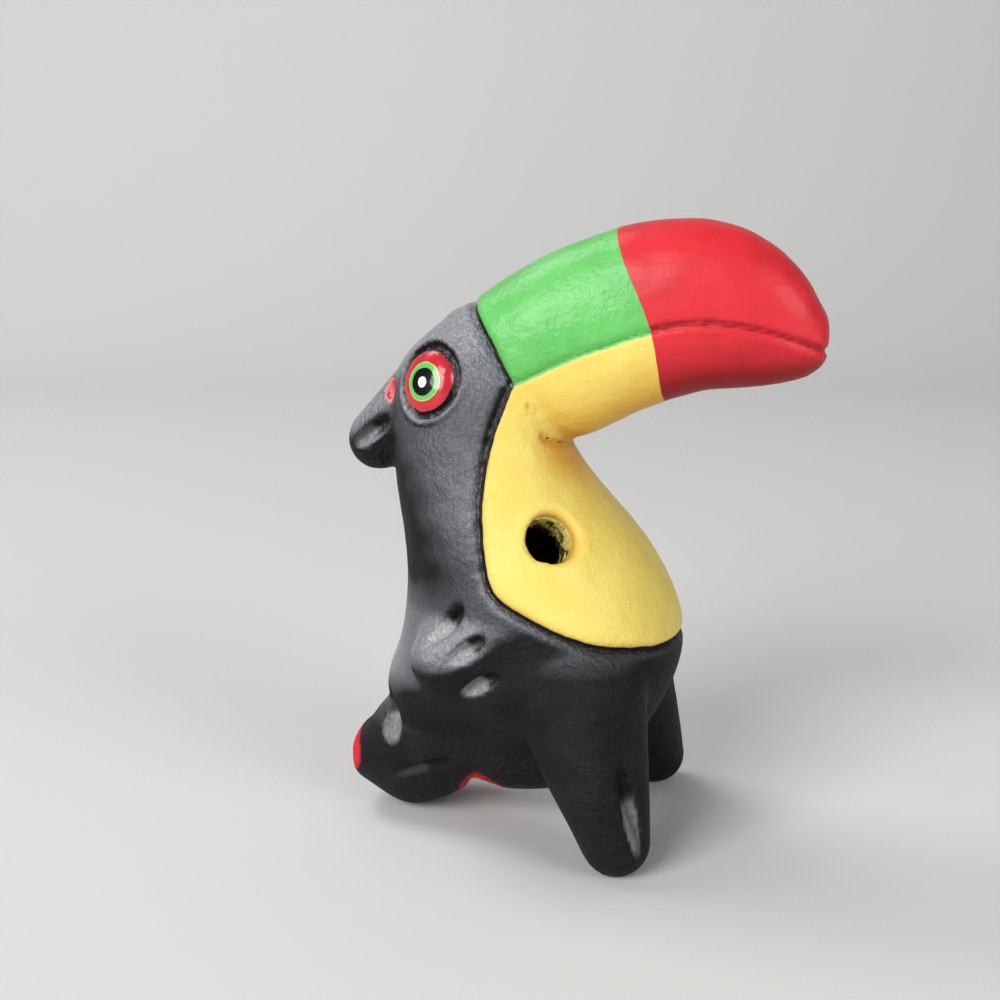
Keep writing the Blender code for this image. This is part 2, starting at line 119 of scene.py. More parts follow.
# Finger hole: its mouth, its axis, and how far in the yellow paint goes. The skin is found some way
# beside the hole, and bulges a little further out where the hole is.
HOLE_MOUTH = (-0.3, 47.0)
HOLE_FORWARD = math.radians(42)
HOLE_UP = math.radians(31)
HOLE_RADIUS = 3.6
HOLE_MARGIN = 0.9
HOLE_SKIN_ROUND = 6.5
HOLE_SKIN_BULGE = 2.55
HOLE_PAINTED = 1.5

# The ragged clay that the finger hole's tool pushed in round the hole
COLLAR_FROM, COLLAR_TO = 2.0, 6.3
COLLAR_RADII = (3.52, 4.4)
COLLAR_RAGGED = 1.1
COLLAR_UNEVEN = 0.05
COLLAR_SPOKES = 72
COLLAR_STEPS = 12

# Tool gouges, in millimetres:
# (deep end, shallow end, width, extra depth, how far the floor gets its painted grey sheen)
GOUGES = (
    ((-27.1, 61.3), (-33.3, 56.3), 2.6, 0.30, 0.22),
    ((-12.5, 37.2), (-18.1, 31.2), 2.4, 0.30, 1.00),
    ((-8.9, 33.3), (-14.3, 29.1), 2.7, 0.30, 0.60),
    ((-7.2, 27.7), (-13.5, 23.4), 2.6, 0.30, 0.60),
    ((-27.9, 19.9), (-26.0, 11.9), 3.8, 0.30, 0.80),
    ((-16.3, 11.7), (-26.6, 6.7), 1.5, 0.50, 0.10),
    ((10.2, 17.3), (13.2, 3.6), 2.0, 0.40, 0.50),
)

# Parts of a gouge, as shares of its length from the shallow end (where the painted sheen on its floor
# runs and the painted shadow at its deep end begins), and the margin along its sides
GOUGE_RUN_OUT = 0.15
GOUGE_FLOOR_TO = 0.66
GOUGE_SHADOW_FROM = 0.55
GOUGE_BLEND = 0.12
GOUGE_MARGIN = 0.5

# The skin whose mean direction is a gouge's way out: how near, by the gouge's length, and how far it
# faces outward
GOUGE_ROUND = 0.7
GOUGE_OUTWARD = 0.3

# How much deeper the lines are scored than in the solid, and the burr that stands along them
SCORE_WIDTH = 1.5
SCORE_DEPTH = 0.32
BURR_AT = 1.0
BURR_WIDTH = 1.0
BURR_HEIGHT = 0.13
BURR_SIZE = 1.6
BURR_LEAST = 0.4
BURR_ROUGH = 1.2
GAPE_SCORE_WIDTH = 1.3
GAPE_SCORE_DEPTH = 0.22
GAPE_LIP_AT = 0.75
GAPE_LIP_HEIGHT = 0.06

# A burst bubble in the paint, and the cracked crease under the chin
BUBBLE = (-5.3, 64.2)
BUBBLE_RADIUS = 0.55
BUBBLE_DEPTH = 0.30
BUBBLE_RIM_AT = 1.25
CRACK_WIDTH = 0.7
CRACK_DEPTH = 0.7
CHIN_CREASE = ((-3.6, 59.8), (-2.6, 59.0), (-1.6, 58.3), (-0.6, 57.6))
CHIN_CRACKS = (((-3.5, 59.7), (-2.8, 59.1)), ((-2.2, 58.7), (-1.2, 57.9)))

# Kept on the vertices that are nowhere near an eye or a finger hole
FAR_FROM_EYE = 99.0
OUTSIDE_HOLE = -9.0

# Fineness of the skin
SKIN_GRAIN = 0.47
SKIN_SMOOTHING = 6
SKIN_TRIANGLES = 190000
LINE_SAMPLES = 6

# Painted sheen: grey painted on the black where light glances off it, most on upward faces: the
# heights between which it sets in, the share of it on an upright wall, the tilt that has all of it,
# and how much more there is on the wings
SHEEN_FROM, SHEEN_TO = 28.0, 40.0
SHEEN_UPRIGHT = 0.04
SHEEN_TILT = 0.45
WING_FROM, WING_TO = 14.0, 40.0
WING_RISE, WING_FALL = 10.0, 6.0
WING_BEHIND = -5.0
WING_SPREAD = 6.0
WING_SHEEN = 0.40

# Painted shade, darker paint on faces that look downward high up, as under the jaw: the tilt at which
# it begins, and the height over which it is
UNDER_FROM = -0.15
UNDER_SPREAD = 0.5
UNDER_ABOVE = 50.0

# Unevenness of hand-worked clay: (size of a lump, how far it stands)
WORKED = ((9.0, 0.16), (3.2, 0.05))

# Rays from each vertex that find the air chamber, where nearly all meet clay, and the nooks, where
# clay is near and shade is painted; both are then spread over a few rounds of neighbours
RAY_START = 0.3
RAY_REACH = 40.0
RAY_LEAST_FACING = 0.2
NOOK_REACH = 25.0
NOOK_SOFTENING = 8
CLOSED_FROM = 0.8
CLOSED_SPREAD = 0.15
CLOSED_SOFTENING = 2


# Objects and meshes

def placed(name, data):
    """A new object with this data, in the scene."""
    obj = bpy.data.objects.new(name, data)
    bpy.context.scene.collection.objects.link(obj)
    return obj


def mesh_from(draft, name):
    """A draft's finished mesh."""
    mesh = bpy.data.meshes.new(name)
    draft.to_mesh(mesh)
    draft.free()
    return mesh


def join_hoops(draft, inner, outer):
    """Faces between two closed rings of as many points."""
    for i in range(len(inner)):
        j = (i + 1) % len(inner)
        draft.faces.new((inner[i], outer[i], outer[j], inner[j]))


def shaped_mesh(obj):
    """The object's mesh as its modifiers leave it."""
    graph = bpy.context.evaluated_depsgraph_get()
    return bpy.data.meshes.new_from_object(obj.evaluated_get(graph), depsgraph=graph)


def vertex_places(mesh):
    places = np.empty(3 * len(mesh.vertices))
    mesh.vertices.foreach_get("co", places)
    return places.reshape(-1, 3)


def move_vertices(mesh, places):
    mesh.vertices.foreach_set("co", places.ravel())
    mesh.update()


def vertex_ways(mesh):
    """The way straight out of the skin at each vertex."""
    ways = np.empty(3 * len(mesh.vertices))
    mesh.vertex_normals.foreach_get("vector", ways)
    return ways.reshape(-1, 3)


def store(mesh, name, values):
    """Keeps a number on each vertex, for the paint to read."""
    layer = mesh.attributes.new(name, "FLOAT", "POINT")
    layer.data.foreach_set("value", np.asarray(values, dtype=np.float32))


def tree_of(mesh):
    """The mesh's faces, ready for rays to be cast at them."""
    places = [vertex.co for vertex in mesh.vertices]
    return BVHTree.FromPolygons(places, [tuple(face.vertices) for face in mesh.polygons])


def share_up_to(values, full):
    """0 for values up to 0, rising to 1 at the full value."""
    return np.clip(values / full, 0, 1)


# Lines seen from the side

def curve_through(at, places, values):
    """A smooth curve through the named values, read at these places."""
    slopes = np.gradient(values, places)
    left = np.clip(np.searchsorted(places, at) - 1, 0, len(places) - 2)
    span = places[left + 1] - places[left]
    t = (at - places[left]) / span
    rise = values[left + 1] - values[left]
    start, end = slopes[left] * span, slopes[left + 1] * span
    bend = 3 * rise - 2 * start - end
    twist = start + end - 2 * rise
    return values[left] + t * (start + t * (bend + t * twist))


def smooth_line(line):
    """Many close points along a smooth line, in metres."""
    knots = np.arange(len(line), dtype=float)
    fine = np.linspace(0, len(line) - 1, LINE_SAMPLES * (len(line) - 1) + 1)
    across = [curve_through(fine, knots, values) for values in np.array(line, float).T]
    return MM * np.stack(across, axis=1)


def gaps_to(places, corners):
    """How far each place is from a line through these corners."""
    best = np.full(len(places), np.inf)
    for start, end in zip(corners, corners[1:]):
        way = end - start
        along = np.clip((places - start) @ way / (way @ way), 0, 1)
        best = np.minimum(best, np.linalg.norm(places - start - along[:, None] * way, axis=1))
    return best


def inside(places, corners):
    """Whether each place is inside a closed outline."""
    crossings = np.zeros(len(places), int)
    x, z = places.T
    for (ax, az), (bx, bz) in zip(corners, np.roll(corners, -1, axis=0)):
        spans = (az > z) != (bz > z)
        rise = bz - az if bz != az else 1
        crossings += spans & (x < (bx - ax) * (z - az) / rise + ax)
    return crossings % 2 == 1


def depth_inside(places, outline):
    """How far each place is inside an outline, negative outside."""
    closed = np.concatenate([outline, outline[:1]])
    return np.where(inside(places, outline), 1, -1) * gaps_to(places, closed)


def corners_mm(*points):
    return MM * np.array(points)


def beak_outline():
    """The upper beak, seen from the side."""
    top = (2 * BEAK_LINE[0][0] - BEAK_LINE[1][0], 2 * BEAK_LINE[0][1] - BEAK_LINE[1][1])
    far = corners_mm((FAR_FORWARD, GAPE_LINE[-1][1]), (FAR_FORWARD, FAR_UP), (top[0], FAR_UP), top)
    return np.concatenate([smooth_line(BEAK_LINE), smooth_line(GAPE_LINE)[1:], far])


def breast_outline():
    """The breast, throat and lower jaw, seen from the side."""
    far = corners_mm((FAR_FORWARD, FAR_DOWN), (FAR_FORWARD, GAPE_LINE[-1][1]))
    return np.concatenate([smooth_line(BREAST_LINE), far, smooth_line(GAPE_LINE)[:0:-1]])


def tip_outline():
    """All that lies forward of the painted band's border."""
    far = corners_mm((FAR_FORWARD, BAND_LINE[-1][1]), (FAR_FORWARD, BAND_LINE[0][1]))
    return np.concatenate([smooth_line(BAND_LINE), far])


# Places on the skin

def on_skin(tree, forward, height, side):
    """The skin's point at this place, seen from one side, and the way straight out of it."""
    start = Vector((forward * MM, side * FAR_BESIDE * MM, height * MM))
    hit, way, _, _ = tree.ray_cast(start, Vector((0, -side, 0)))
    return hit, way


def eye_axis(tree, side):
    """The middle of an eye, and the way that it looks."""
    centre, _ = on_skin(tree, *EYE_CENTRE, side)
    return centre, np.array((-math.sin(EYE_TURNED_BACK), side * math.cos(EYE_TURNED_BACK), 0))


def eye_distances(places, tree, side):
    """How far each place is from an eye's middle, along its axis and across it, in metres."""
    centre, outward = eye_axis(tree, side)
    away = places - np.array(centre)
    along = away @ outward
    return along, np.linalg.norm(away - along[:, None] * outward, axis=1)


def hole_axis(tree, side):
    """The middle of a finger hole's mouth, and the way out of it."""
    x, z = HOLE_MOUTH
    reach = HOLE_SKIN_ROUND
    beside = ((x + reach, z), (x - reach, z), (x, z + reach), (x, z - reach))
    mouth = np.mean([np.array(on_skin(tree, *spot, side)[0]) for spot in beside], axis=0)
    mouth[1] += side * HOLE_SKIN_BULGE * MM
    level = math.cos(HOLE_UP)
    forward, sideways = level * math.sin(HOLE_FORWARD), side * level * math.cos(HOLE_FORWARD)
    return mouth, np.array((forward, sideways, math.sin(HOLE_UP)))


def depth_in_hole(places, tree):
    """How far in each place is in the right finger hole, in millimetres, or OUTSIDE_HOLE."""
    mouth, axis = hole_axis(tree, -1)
    off = places - mouth
    depth = -(off @ axis)
    across = np.linalg.norm(off + depth[:, None] * axis, axis=1)
    return np.where(across < (HOLE_RADIUS + HOLE_MARGIN) * MM, depth / MM, OUTSIDE_HOLE)


# The clay skin

def fine_skin(node):
    """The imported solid's skin, made anew in fine even faces and softened as wet clay is."""
    draft = bmesh.new()
    draft.from_mesh(node.data)
    bmesh.ops.remove_doubles(draft, verts=draft.verts, dist=MM / 1000)
    obj = placed("skin", mesh_from(draft, "skin"))
    remade = obj.modifiers.new("remade", "REMESH")
    remade.mode = "VOXEL"
    remade.voxel_size = SKIN_GRAIN * MM
    softened = obj.modifiers.new("softened", "SMOOTH")
    softened.factor = 0.5
    softened.iterations = SKIN_SMOOTHING
    skin = shaped_mesh(obj)
    bpy.data.objects.remove(obj)
    return skin


def work_unevenly(mesh):
    """Lets the skin rise and sink a little, as hands leave it."""
    places = vertex_places(mesh)
    risen = np.zeros(len(places))
    for size, height in WORKED:
        risen += height * np.array([noise.noise(Vector(p) / (size * MM)) for p in places])
    move_vertices(mesh, places + vertex_ways(mesh) * (MM * risen)[:, None])


def trough(distance, width, steepness=GENTLE):
    """1 in the middle of a mark, falling to 0 at its edges."""
    return np.clip(1 - np.abs(2 * distance / width) ** steepness, 0, 1)


def score_lines(places):
    """The lines scored deeper, each with a rough burr along its edges."""
    side_view = places[:, (0, 2)]
    rough = np.array([abs(noise.noise(Vector(p) / (BURR_SIZE * MM))) for p in places])
    rough = BURR_LEAST + BURR_ROUGH * rough
    sunk = np.zeros(len(places))
    for line in (BEAK_LINE, BREAST_LINE):
        gaps = gaps_to(side_view, smooth_line(line)) / MM
        sunk = np.maximum(sunk, SCORE_DEPTH * trough(gaps, SCORE_WIDTH))
        sunk -= BURR_HEIGHT * rough * trough(gaps - BURR_AT, BURR_WIDTH)
    gape = smooth_line(GAPE_LINE)
    gaps = gaps_to(side_view, gape) / MM
    sunk = np.maximum(sunk, GAPE_SCORE_DEPTH * trough(gaps, GAPE_SCORE_WIDTH))
    in_beak = inside(side_view, beak_outline())
    sunk -= np.where(in_beak, 0, GAPE_LIP_HEIGHT * trough(gaps - GAPE_LIP_AT, 2 * GAPE_LIP_AT))
    sunk += CRACK_DEPTH * trough(gaps_to(side_view, smooth_line(CHIN_CREASE)) / MM, CRACK_WIDTH)
    return sunk


def press_eye(places, tree, side):
    """How deep the groove round the eye is pressed at each place, less the rim that it raises."""
    along, across = eye_distances(places, tree, side)
    past = across / MM - EYE_RADIUS
    groove = EYE_GROOVE_DEPTH * trough(past - EYE_GROOVE_WIDTH / 2, EYE_GROOVE_WIDTH, STEEP)
    rim = EYE_RIM_HEIGHT * trough(past - EYE_GROOVE_WIDTH - EYE_RIM_WIDTH / 2, EYE_RIM_WIDTH)
    return np.where(np.abs(along) < EYE_RADIUS * MM, groove - rim, 0)


def press_gouge(places, ways, tree, side, deep, shallow, width, depth):
    """A scooped tool mark, steep at one end.

    For each place: the depth, how far it is within the mark's sides, and how far along from the
    shallow end, as a share of the length.
    """
    deep, _ = on_skin(tree, *deep, side)
    shallow, _ = on_skin(tree, *shallow, side)
    line = np.array(deep - shallow)
    off = places - np.array(shallow)
    round_it = np.linalg.norm(off - line / 2, axis=1) < GOUGE_ROUND * np.linalg.norm(line)
    outward = ways[round_it & (side * ways[:, 1] > GOUGE_OUTWARD)].sum(axis=0)
    outward /= np.linalg.norm(outward)
    sideways = np.cross(outward, line)
    sideways /= np.linalg.norm(sideways)
    along = (off @ line) / (line @ line)
    share = np.clip(along, 0, 1)
    leaf = np.sqrt(4 * share * (1 - share)) + TINY
    across = trough(off @ sideways / MM, width * leaf, STEEP)
    near = np.abs((off - along[:, None] * line) @ outward) < 2 * width * MM
    here = np.where(near & (along > 0) & (along < 1) & (ways @ outward > 0), across, 0)
    facing = np.clip(ways @ outward, 0, 1) ** 2
    return here * facing * depth * share * (1 - share**4), here, np.where(here > 0, share, 0)


def press_bubble(places, tree):
    """A burst bubble: a pit in a low rim."""
    centre, _ = on_skin(tree, *BUBBLE, -1)
    across = np.linalg.norm(places - np.array(centre), axis=1) / MM
    pit = trough(across, 2 * BUBBLE_RADIUS)
    return BUBBLE_DEPTH * (pit - trough(across - BUBBLE_RIM_AT * BUBBLE_RADIUS, BUBBLE_RADIUS))


def press_marks(mesh, tree):
    """Every mark, pressed straight into the fine skin."""
    places = vertex_places(mesh)
    ways = vertex_ways(mesh)
    sunk = score_lines(places) + press_bubble(places, tree)
    gouge_sheen, deep = np.zeros(len(places)), np.zeros(len(places))
    for side in (1, -1):
        sunk += press_eye(places, tree, side)
        for *mark, greyed in GOUGES:
            depth, here, share = press_gouge(places, ways, tree, side, *mark)
            sunk += depth
            inner = share_up_to(here, GOUGE_MARGIN)
            # Painted sheen on the gouge's floor
            floor = share_up_to(share, GOUGE_RUN_OUT)
            floor *= share_up_to(GOUGE_FLOOR_TO - share, GOUGE_BLEND)
            gouge_sheen = np.maximum(gouge_sheen, greyed * floor * inner)
            # Painted shadow at the gouge's deep end
            deep = np.maximum(deep, share_up_to(share - GOUGE_SHADOW_FROM, GOUGE_BLEND) * inner)
    store(mesh, "gouge_sheen", gouge_sheen)
    store(mesh, "deep", deep)
    move_vertices(mesh, places - ways * (MM * sunk)[:, None])


def softened(mesh, values, rounds):
    """Values spread a little to the vertices round each."""
    ends = np.empty(2 * len(mesh.edges), dtype=int)
    mesh.edges.foreach_get("vertices", ends)
    first, second = ends.reshape(-1, 2).T
    total = len(values)
    counts = np.bincount(first, minlength=total) + np.bincount(second, minlength=total)
    for _ in range(rounds):
        sums = np.bincount(first, values[second], total) + np.bincount(second, values[first], total)
        values = 0.5 * values + 0.5 * sums / np.maximum(counts, 1)
    return values


def mark_nooks(mesh, tree):
    """Keeps on each vertex how much clay it faces, for the air chamber and for the painted shade in
    nooks.
    """
    ways = [Vector(way).normalized() for way in itertools.product((-1, 0, 1), repeat=3) if any(way)]
    closed, nooks = [], []
    for vertex in mesh.vertices:
        start = vertex.co + vertex.normal * RAY_START * MM
        facing_all = met = met_near = 0.0
        for way in ways:
            facing = way.dot(vertex.normal)
            if facing > RAY_LEAST_FACING:
                facing_all += facing
                gap = tree.ray_cast(start, way, RAY_REACH * MM)[3]
                if gap is not None:
                    met += facing
                    met_near += facing * max(1 - gap / (NOOK_REACH * MM), 0)
        closed.append(met / facing_all)
        nooks.append(met_near / facing_all)
    in_chamber = share_up_to(np.array(closed) - CLOSED_FROM, CLOSED_SPREAD)
    store(mesh, "closed", softened(mesh, in_chamber, CLOSED_SOFTENING))
    store(mesh, "nook_shade", softened(mesh, np.array(nooks), NOOK_SOFTENING))


def mark_inner(mesh, tree, group):
    """Puts the vertices that see clay every way in a group."""
    straight = ((0, 1, 0), (0, -1, 0), (1, 0, 0), (-1, 0, 0), (0, 0, 1), (0, 0, -1))
    ways = [Vector(way) for way in straight]
    inner = []
    for vertex in mesh.vertices:
        start = vertex.co + vertex.normal * RAY_START * MM
        if all(tree.ray_cast(start, way)[0] is not None for way in ways):
            inner.append(vertex.index)
    group.add(inner, 1, "REPLACE")


def with_fewer_faces(mesh, tree):
    """The same skin with wider faces in the air chamber, where none are seen."""
    obj = placed("fine_clay", mesh)
    group = obj.vertex_groups.new(name="inner")
    mark_inner(mesh, tree, group)
    fewer = obj.modifiers.new("fewer_faces", "DECIMATE")
    fewer.ratio = min(1, SKIN_TRIANGLES / (2 * len(mesh.polygons)))
    fewer.vertex_group = group.name
    result = shaped_mesh(obj)
    bpy.data.objects.remove(obj)
    return result


def mark_paint(mesh, tree):
    """Keeps on each vertex how far it is, in millimetres, inside each patch of paint."""
    places = vertex_places(mesh)
    side_view = places[:, (0, 2)]
    store(mesh, "beak", depth_inside(side_view, beak_outline()) / MM)
    store(mesh, "breast", depth_inside(side_view, breast_outline()) / MM)
    store(mesh, "tip", depth_inside(side_view, tip_outline()) / MM)
    beak_gaps = gaps_to(side_view, smooth_line(BEAK_LINE)) + BEAK_CUT_NARROWER * MM
    store(mesh, "cut", np.minimum(beak_gaps, gaps_to(side_view, smooth_line(BREAST_LINE))) / MM)
    store(mesh, "gape", gaps_to(side_view, smooth_line(GAPE_LINE)) / MM)
    cracks = [gaps_to(side_view, corners_mm(*crack)) for crack in CHIN_CRACKS]
    store(mesh, "crack", np.minimum(*cracks) / MM)
    mirrored = np.stack([places[:, 0], -np.abs(places[:, 1]), places[:, 2]], axis=1)
    dimple = np.array(on_skin(tree, *DIMPLE_CENTRE, -1)[0])
    off = (mirrored - dimple) / MM / np.array(DIMPLE_RADII)
    store(mesh, "dimple", 1 - np.linalg.norm(off, axis=1))
    mouth = np.array((MOUTH_MIDDLE[0], 0, MOUTH_MIDDLE[1]))
    off = (mirrored / MM - mouth) / np.array(MOUTH_REACH)
    store(mesh, "mouth", 1 - np.linalg.norm(off, axis=1))
    off = (mirrored[:, :2] / MM - np.array((WINDOW_MIDDLE[0], 0))) / np.array(WINDOW_REACH)
    below = np.clip(WINDOW_MIDDLE[1] - mirrored[:, 2] / MM, -1, 1)
    store(mesh, "window", np.minimum(1 - np.linalg.norm(off, axis=1), below))
    store(mesh, "bore", depth_in_hole(mirrored, tree))
    ways = vertex_ways(mesh)
    forward, height = places[:, 0] / MM, places[:, 2] / MM
    # Painted shade on faces that look downward, high up under the jaw and beak
    store(mesh, "under", share_up_to(UNDER_FROM - ways[:, 2], UNDER_SPREAD) * (height > UNDER_ABOVE))
    # Painted sheen on the black: high up and on the wings, most on faces that look upward
    high = share_up_to(height - SHEEN_FROM, SHEEN_TO - SHEEN_FROM)
    on_wing = share_up_to(height - WING_FROM, WING_RISE) * share_up_to(WING_TO - height, WING_FALL)
    on_wing *= share_up_to(WING_BEHIND - forward, WING_SPREAD)
    high = np.maximum(high, on_wing)
    upward = SHEEN_UPRIGHT + (1 - SHEEN_UPRIGHT) * ways[:, 2] / SHEEN_TILT + WING_SHEEN * on_wing
    store(mesh, "painted_sheen", high * np.clip(upward, 0, 1))
    along, across = eye_distances(mirrored, tree, -1)
    store(mesh, "eye", np.where(np.abs(along) < EYE_RADIUS * MM, across / MM, FAR_FROM_EYE))


# Shader helpers

def new_material(name):
    material = bpy.data.materials.new(name)
    material.use_nodes = True
    return material, material.node_tree, material.node_tree.nodes["Principled BSDF"]


def add_node(tree, kind, inputs=None, **settings):
    """A node with its settings and inputs, each input a number or another node's output."""
    node = tree.nodes.new(kind)
    for name, value in settings.items():
        setattr(node, name, value)
    for key, value in (inputs or {}).items():
        if isinstance(value, bpy.types.NodeSocket):
            tree.links.new(value, node.inputs[key])
        else:
            node.inputs[key].default_value = value
    return node


def math_node(tree, operation, first, second=0.0):
    return add_node(tree, "ShaderNodeMath", {0: first, 1: second}, operation=operation).outputs[0]


def times(tree, first, second):
    return math_node(tree, "MULTIPLY", first, second)


def plus(tree, first, second):
    return math_node(tree, "ADD", first, second)


def attribute(tree, name):
    return add_node(tree, "ShaderNodeAttribute", attribute_name=name).outputs["Fac"]


def noise_at(tree, size, detail=2.0, roughness=0.5, stretch=(1, 1, 1)):
    """Noise whose lumps are about this many millimetres, from the piece's own coordinates."""
    coordinates = add_node(tree, "ShaderNodeTexCoord").outputs["Object"]
    inputs = {"Vector": coordinates, "Scale": stretch}
    scaled = add_node(tree, "ShaderNodeMapping", inputs).outputs[0]
    inputs = {"Vector": scaled, "Scale": 1 / (size * MM), "Detail": detail, "Roughness": roughness}
    return add_node(tree, "ShaderNodeTexNoise", inputs).outputs["Fac"]


def ramp(tree, value, low, high, to_low=0.0, to_high=1.0):
    inputs = {"Value": value, 1: low, 2: high, 3: to_low, 4: to_high}
    return add_node(tree, "ShaderNodeMapRange", inputs, clamp=True).outputs[0]


def mixed(tree, share, first, second):
    """Two colours mixed by a share."""
    inputs = {0: share, 6: first, 7: second}
    return add_node(tree, "ShaderNodeMix", inputs, data_type="RGBA").outputs[2]


def mixed_value(tree, share, first, second):
    """Two numbers mixed by a share."""
    inputs = {0: share, 2: first, 3: second}
    return add_node(tree, "ShaderNodeMix", inputs, data_type="FLOAT").outputs[0]


def add_bump(tree, shader, height, normals=("Normal",), strength=1.0, distance=MM):
    """Fine relief in the shader's normals, as high as the height times the distance."""
    inputs = {"Strength": strength, "Distance": distance, "Height": height}
    bump = add_node(tree, "ShaderNodeBump", inputs)
    for normal in normals:
        tree.links.new(bump.outputs[0], shader.inputs[normal])


# Paints: linear colours

BLACK = (0.006, 0.005, 0.006, 1)
BLACK_WORN = (0.014, 0.012, 0.014, 1)
# Painted sheen on the black's upward faces
BLACK_SHEEN_GREY = (0.170, 0.177, 0.208, 1)
GROOVE_BLACK = (0.004, 0.003, 0.003, 1)
# Painted sheen on the floors of gouges
GOUGE_SHEEN_GREY = (0.30, 0.295, 0.285, 1)
BARE_CLAY = (0.035, 0.022, 0.012, 1)
CHAMBER_CLAY = (0.12, 0.07, 0.035, 1)
OLIVE = (0.62, 0.50, 0.13, 1)
YELLOW = (0.77, 0.64, 0.155, 1)
YELLOW_DEEP = (0.73, 0.54, 0.105, 1)
# Painted shade for the yellow in nooks and under the jaw
YELLOW_SHADE = (0.62, 0.33, 0.045, 1)
GREEN = (0.115, 0.48, 0.105, 1)
GREEN_DEEP = (0.03, 0.26, 0.03, 1)
RED = (0.62, 0.022, 0.032, 1)
RED_DEEP = (0.26, 0.004, 0.008, 1)
# Painted highlight round the dimple's rim
PINK_HIGHLIGHT = (0.80, 0.20, 0.20, 1)
EYE_RED = (0.47, 0.018, 0.026, 1)
STRAW = (0.70, 0.72, 0.20, 1)
WHITE = (0.90, 0.91, 0.90, 1)

# Borders of paint, in millimetres: how soft they are, and how far a hand-painted one wavers
PAINT_EDGE = 0.06
EDGE_WAVER = 0.22

# Shares of that waver
BEAK_WAVER, BREAST_WAVER, TIP_WAVER, SPOT_WAVER, BORE_WAVER = 0.5, 0.5, 0.4, 0.3, 1.5
BEAK_EDGE_AT = -0.05

# Between these two distances, in millimetres, a paint along a line ends
IN_CUT = (0.44, 0.56)
# Where the painted shadow along the gape ends
IN_GAPE_SHADOW = (0.10, 0.32)
RUN_OVER_GAPE = (0.38, 0.48)
IN_CRACK = (0.10, 0.18)
ROUND_EYE = (EYE_RADIUS + 0.90, EYE_RADIUS + 1.05)
HOLE_PAINT_ENDS = (HOLE_PAINTED, HOLE_PAINTED + 0.3)

# Between these two shares a paint sets in
IN_CHAMBER = (0.4, 0.7)
IN_NOOK = (0.01, 0.24)
IN_DIMPLE = (0.06, 0.25)
# How strong the painted shade under the jaw is
UNDER_SHADE = 0.8
# How strong the painted shadow in the gape is
GAPE_SHADOW = 0.85

# Sizes of the noise in the paint, in millimetres
WAVER_SIZE, PATCH_SIZE, GRAIN_SIZE, FINE_SIZE, LUMP_SIZE, STREAK_SIZE = 1.6, 7.0, 0.8, 0.5, 1.7, 2.4
STREAK_STRETCH = (0.35, 1, 1)

# Relief, in millimetres: (grain, lumps), (fine, lumps), (grain, lumps) and (fine, streaks)
BLACK_RELIEF, YELLOW_RELIEF = (0.55, 0.22), (0.09, 0.16)
GREEN_RELIEF, RED_RELIEF = (0.12, 0.18), (0.03, 0.22)

# Roughness, some of it from one value to another with the grain, and the coat of gloss; the black is
# glossier where it has its painted sheen
GRAIN_RANGE = (0.3, 0.7)
BLACK_ROUGH, RED_ROUGH = 0.60, 0.46
SHEEN_ROUGH, YELLOW_ROUGH, GREEN_ROUGH = (0.36, 0.50), (0.42, 0.52), (0.30, 0.40)
SHEEN_COAT, YELLOW_COAT, GREEN_COAT, RED_COAT = 1.2, 0.12, 0.26, 0.14
COAT_ROUGHNESS = 0.36
COAT_IOR = 1.8
SPECULAR_LEVEL = 0.15
EYE_ROUGH = 0.20
CLAY_ROUGH = 0.7
FLOOR_ROUGH = 0.9


def waver_of(tree, lumps, reach):
    """Noise as a waver to both sides, in millimetres."""
    return times(tree, math_node(tree, "SUBTRACT", lumps, 0.5), 2 * reach)


def edge(tree, distance, waver, at=0.0):
    """1 where the distance is over a value, with a hand-painted wavering edge."""
    return ramp(tree, plus(tree, distance, waver), at - PAINT_EDGE, at + PAINT_EDGE)


def splashed_clay(tree, depth):
    """Bare dark clay that some yellow paint has run down onto, less and less with depth."""
    lessening = ramp(tree, depth, 1.0, 6.5, 0.16, -0.12)
    splashed = plus(tree, noise_at(tree, 1.2, 4, 0.7), lessening)
    return mixed(tree, ramp(tree, splashed, 0.46, 0.56), BARE_CLAY, OLIVE)


def clay_fields(tree, waver):
    """How much each place has of the beak's, the breast's and the beak tip's paint."""
    is_tip = edge(tree, attribute(tree, "tip"), times(tree, waver, TIP_WAVER))
    is_beak = edge(tree, attribute(tree, "beak"), times(tree, waver, BEAK_WAVER), BEAK_EDGE_AT)
    run_over = ramp(tree, plus(tree, attribute(tree, "gape"), waver), *RUN_OVER_GAPE, 1, 0)
    run_over = times(tree, run_over, math_node(tree, "SUBTRACT", 1, is_tip))
    is_beak = math_node(tree, "MAXIMUM", is_beak, run_over)
    is_breast = edge(tree, attribute(tree, "breast"), times(tree, waver, BREAST_WAVER))
    return is_beak, is_breast, is_tip


